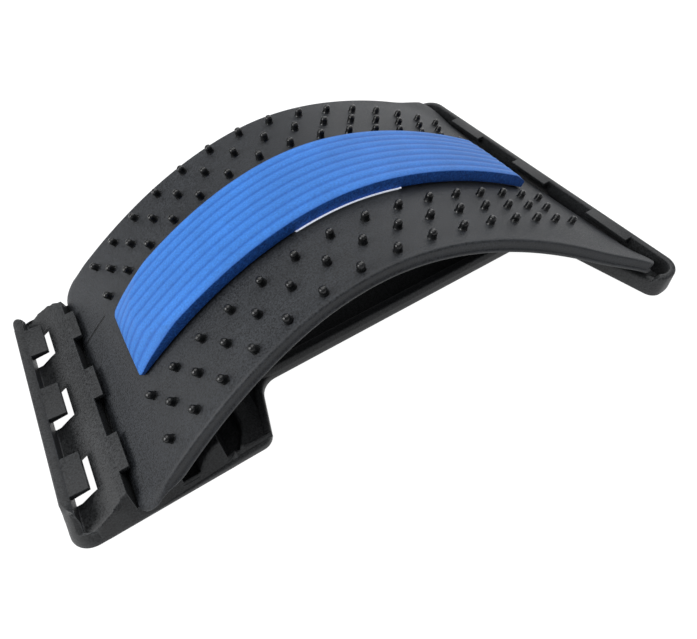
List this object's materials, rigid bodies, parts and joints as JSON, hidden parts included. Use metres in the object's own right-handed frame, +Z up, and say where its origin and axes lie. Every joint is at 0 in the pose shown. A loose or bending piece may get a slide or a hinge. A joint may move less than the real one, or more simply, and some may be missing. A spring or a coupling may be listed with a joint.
{
  "type": "arched back stretcher",
  "caption": "Arched lumbar back stretcher: a springy pegged panel with a ribbed foam pad, bowed between the hooked pockets of a one-piece base.",
  "frame": {"origin": "centre of the base's footprint, on the surface the base stands on", "axes": "+X from the ratchet end to the end with a single row of hooks, +Y across the width, +Z up"},
  "size_m": [0.399, 0.266, 0.0989],
  "materials": {
    "base_plastic": "satin, fine spark-eroded grain",
    "panel_plastic": "matt, fine leather grain, glossy peg tips",
    "pad_foam": "closed-cell foam, skinned and ribbed on top, cut at the sides",
    "sheet_film": "smooth film"
  },
  "bodies": {
    "base": {"base_frame": "base_plastic"},
    "right_half": {"arch_panel_right": "panel_plastic", "foam_pad": "pad_foam", "adhesive_sheet": "sheet_film"},
    "left_half": {"arch_panel_left": "panel_plastic"}
  },
  "joints": [
    {"name": "arch_lift", "type": "hinge", "parent": "base", "child": "right_half", "pos_m": [0.1893, 0, 0.00628], "axis": [0, 1, 0], "range_deg": [0, 13]},
    {"name": "arch_flex", "type": "hinge", "parent": "right_half", "child": "left_half", "pos_m": [0.0008, 0, 0.0817], "axis": [0, -1, 0], "range_deg": [0, 20.2]}
  ],
  "couplings": [
    {"joint": "arch_flex", "follows": "arch_lift", "ratio": 1.55}
  ]
}
